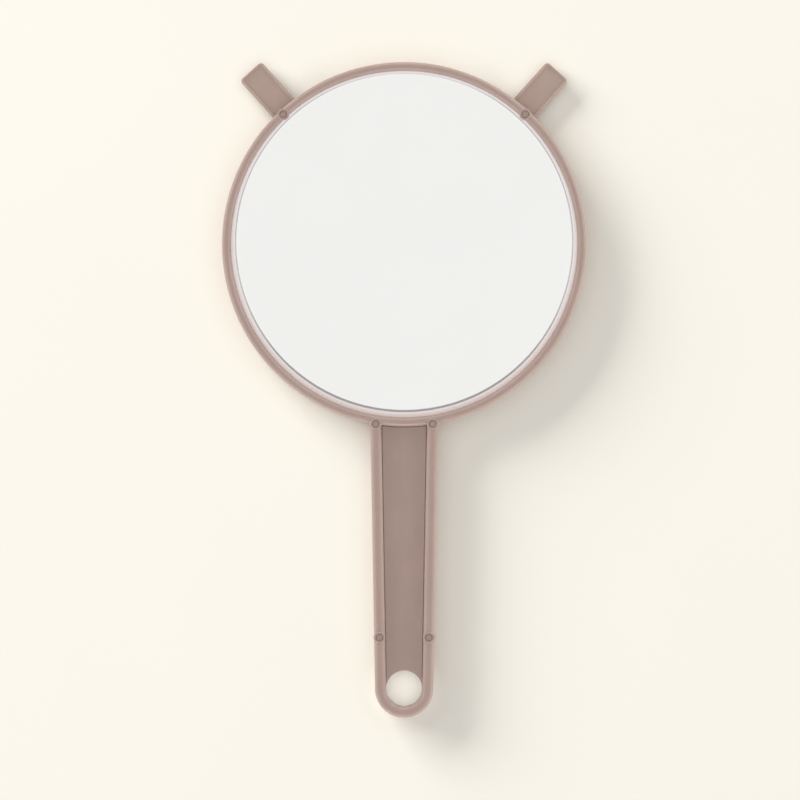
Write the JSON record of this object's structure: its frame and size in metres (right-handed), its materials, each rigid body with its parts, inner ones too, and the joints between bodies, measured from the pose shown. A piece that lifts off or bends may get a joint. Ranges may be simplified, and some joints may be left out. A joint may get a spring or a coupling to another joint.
{
  "type": "hand mirror",
  "caption": "Round hand mirror in a moulded frame with a channelled handle, a hanging hole and swing-out feet at the top.",
  "frame": {"origin": "centre of the round head on the flat back face", "axes": "+Z out of the mirror's face, +Y from the handle to the feet, +X to the right as the mirror is looked into"},
  "size_m": [0.142, 0.2557, 0.0106],
  "materials": {
    "frame_plastic": "satin moulded plastic, taupe, with softly polished edges",
    "shell_plastic": "fine spark-eroded matt, taupe",
    "foot_plastic": "satin moulded plastic, taupe",
    "pin_plastic": "satin, taupe, a shade darker than the frame",
    "foam": "closed-cell foam, pale grey",
    "silvering": "silver layer with backing paint",
    "pane": "clear float glass, polished, with a fine ground bevel"
  },
  "bodies": {
    "root": {"front_frame": "frame_plastic", "back_shell": "shell_plastic", "foot_pin_left": "pin_plastic", "foot_pin_right": "pin_plastic", "neck_pins": "pin_plastic", "tail_pins": "pin_plastic", "foam_tape": "foam", "silver_backing": "silvering", "mirror_glass": "pane"},
    "foot_left_body": {"foot_left": "foot_plastic"},
    "foot_right_body": {"foot_right": "foot_plastic"}
  },
  "joints": [
    {"name": "foot_left_swing", "type": "hinge", "parent": "root", "child": "foot_left_body", "pos_m": [-0.04709, 0.0505, 0.0033], "axis": [0, 0, -1], "range_deg": [0, 112]},
    {"name": "foot_right_swing", "type": "hinge", "parent": "root", "child": "foot_right_body", "pos_m": [0.04709, 0.0505, 0.0033], "axis": [0, 0, 1], "range_deg": [0, 112]}
  ]
}
